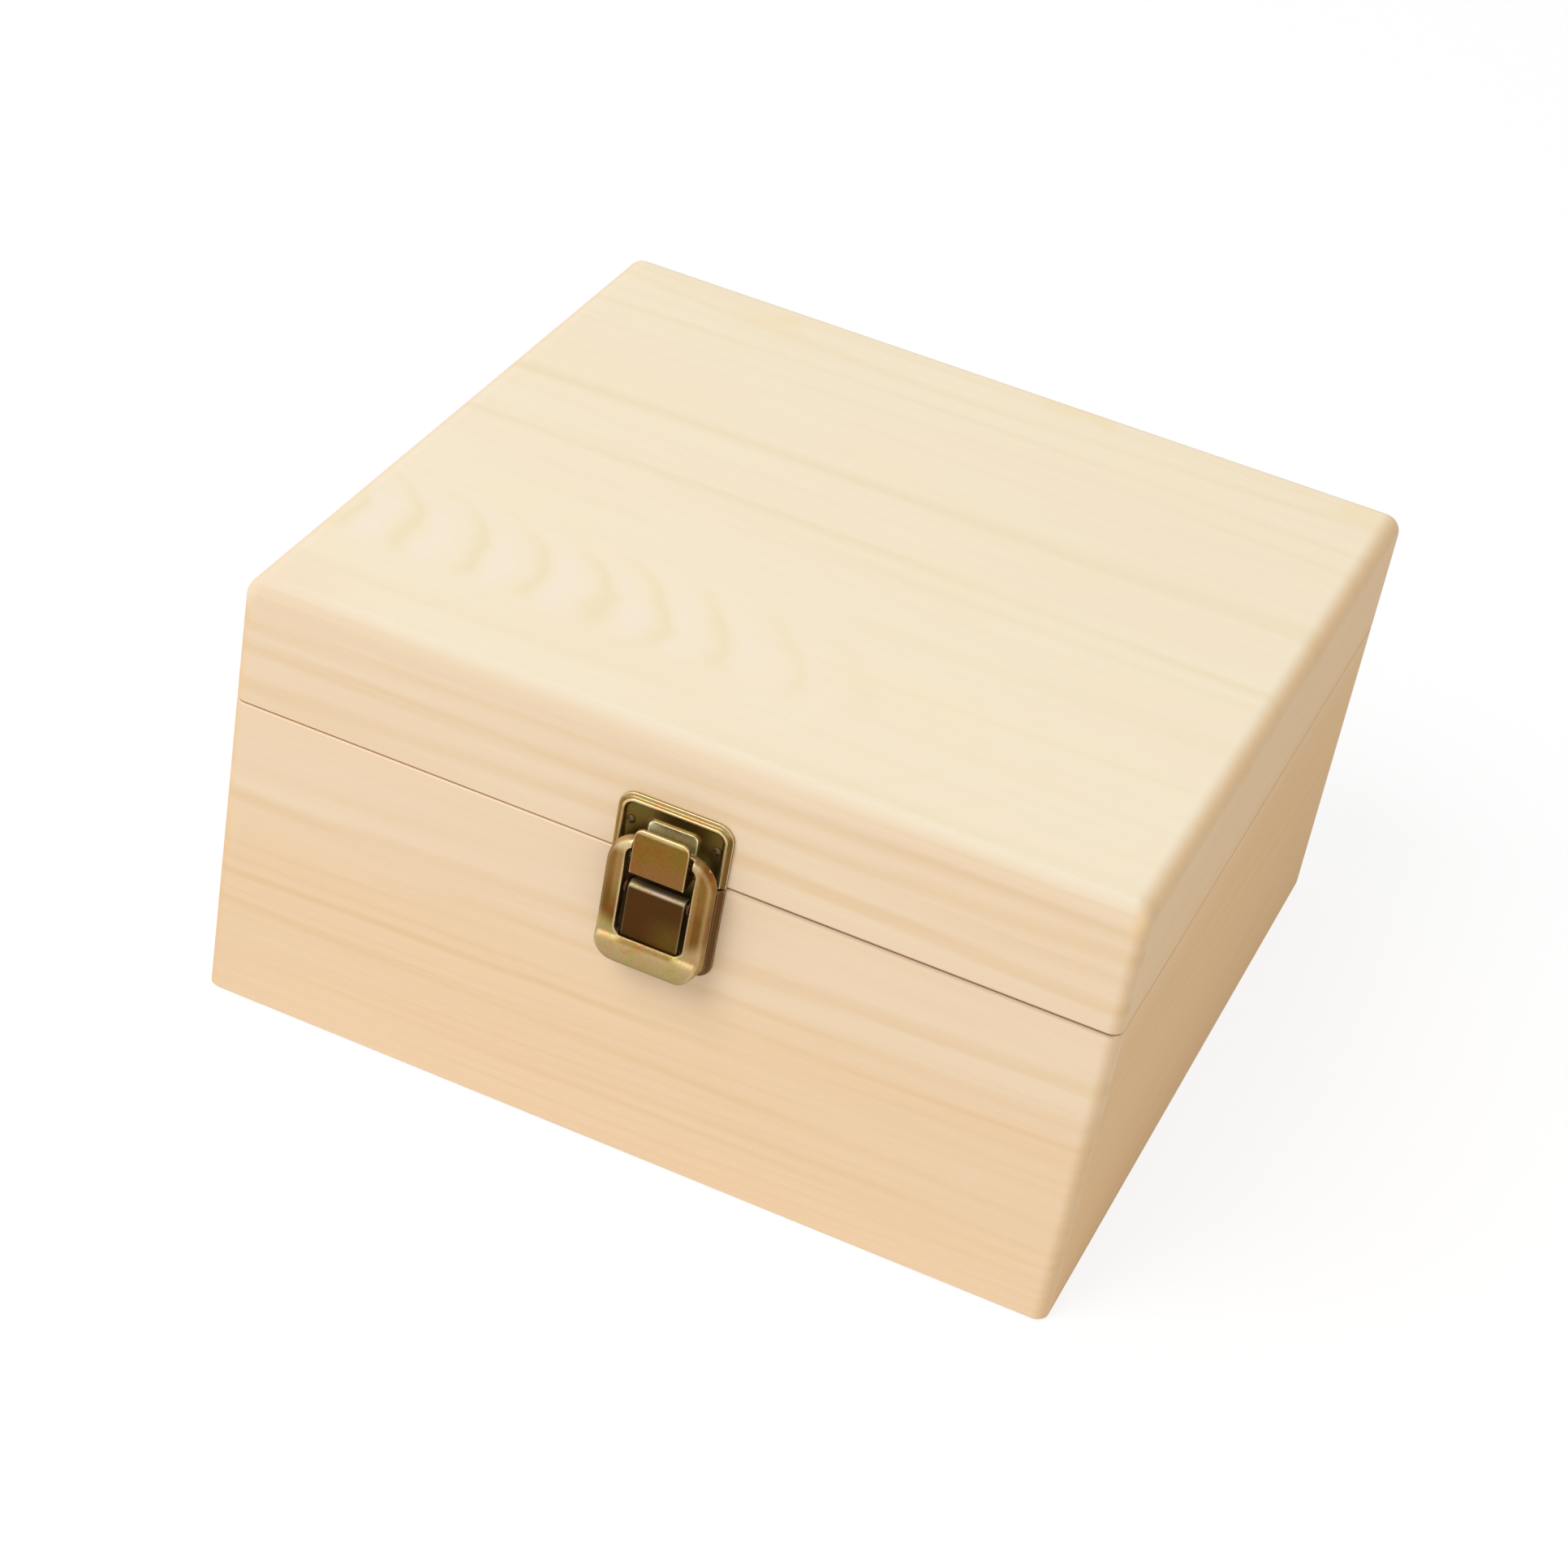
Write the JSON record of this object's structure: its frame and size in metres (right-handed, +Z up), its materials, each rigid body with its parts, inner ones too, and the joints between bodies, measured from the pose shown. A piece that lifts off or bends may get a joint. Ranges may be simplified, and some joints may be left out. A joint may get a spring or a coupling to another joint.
{
  "type": "hinged-lid wooden storage box",
  "caption": "Shallow, nearly square wooden box with a hinged lid and a ring toggle latch on the front, for keeping small kitchen goods.",
  "frame": {"origin": "middle of the box's underside, on the surface it stands on", "axes": "+X to the right along the front, +Y from the latch towards the hinges, +Z up"},
  "size_m": [0.21, 0.2126, 0.1115],
  "materials": {
    "pine": "planed, unfinished pine",
    "panel": "thin plywood, unfinished",
    "latch_brass": "antique brass, rubbed bright on the edges",
    "hinge_brass": "antique brass",
    "pin_brass": "antique brass, darker",
    "nail_brass": "antique brass, domed heads"
  },
  "bodies": {
    "box": {"front_board": "pine", "back_board": "pine", "left_board": "pine", "right_board": "pine", "bottom_panel": "panel", "latch_base_plate": "latch_brass", "base_nails": "nail_brass", "link_pin": "pin_brass", "hinge_left_box_leaf": "hinge_brass", "hinge_right_box_leaf": "hinge_brass", "hinge_left_pin": "pin_brass", "hinge_right_pin": "pin_brass", "hinge_box_nails": "nail_brass"},
    "lid": {"lid_top": "pine", "lid_front_rail": "pine", "lid_back_rail": "pine", "lid_left_rail": "pine", "lid_right_rail": "pine", "catch_plate": "latch_brass", "catch_nails": "nail_brass", "hinge_left_lid_leaf": "hinge_brass", "hinge_right_lid_leaf": "hinge_brass", "hinge_lid_nails": "nail_brass"},
    "lever": {"latch_link": "latch_brass"},
    "ring": {"latch_ring": "latch_brass", "ring_pin": "pin_brass"}
  },
  "joints": [
    {"name": "lid_hinge", "type": "hinge", "parent": "box", "child": "lid", "pos_m": [0, 0.1025, 0.0797], "axis": [-1, 0, 0], "range_deg": [0, 180]},
    {"name": "lever_swing", "type": "hinge", "parent": "box", "child": "lever", "pos_m": [0.002, -0.1043, 0.0743], "axis": [-1, 0, 0], "range_deg": [0, 75]},
    {"name": "ring_swing", "type": "hinge", "parent": "lever", "child": "ring", "pos_m": [0.002, -0.1043, 0.0597], "axis": [1, 0, 0], "range_deg": [0, 41.25]}
  ],
  "couplings": [
    {"joint": "ring_swing", "follows": "lever_swing", "ratio": 0.55}
  ]
}
